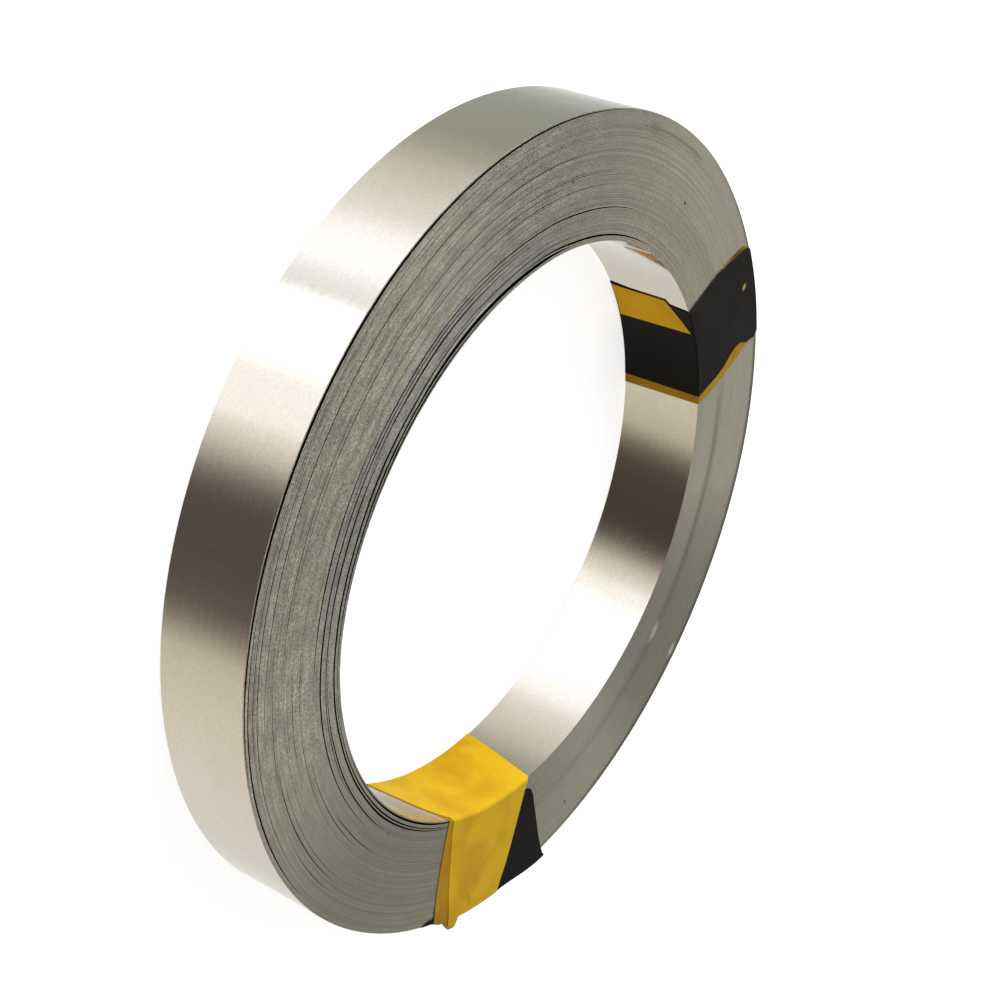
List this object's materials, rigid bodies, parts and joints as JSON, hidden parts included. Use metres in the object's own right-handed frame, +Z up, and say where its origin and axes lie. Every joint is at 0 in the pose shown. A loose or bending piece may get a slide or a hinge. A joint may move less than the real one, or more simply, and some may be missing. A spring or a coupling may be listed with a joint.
{
  "type": "roll of nickel-plated steel strip",
  "caption": "Flat ring-shaped roll of narrow plated steel strip, wound on itself with no core and held shut by wraps of yellow and black tape.",
  "frame": {"origin": "on the roll's axis, level with the strip's lower edge as the roll lies on one end", "axes": "+Z up the roll's axis, out of the end that faces up; angles are measured from +X"},
  "size_m": [0.1088, 0.1089, 0.0122],
  "materials": {
    "plated_strip": "satin nickel plate, plain slit edges",
    "yellow_tape": "satin film",
    "black_tape": "satin film"
  },
  "bodies": {
    "root": {"strip_coil": "plated_strip", "lower_black_tape": "black_tape", "lower_yellow_tape": "yellow_tape", "side_yellow_tape": "yellow_tape", "side_black_tape": "black_tape"}
  },
  "joints": []
}
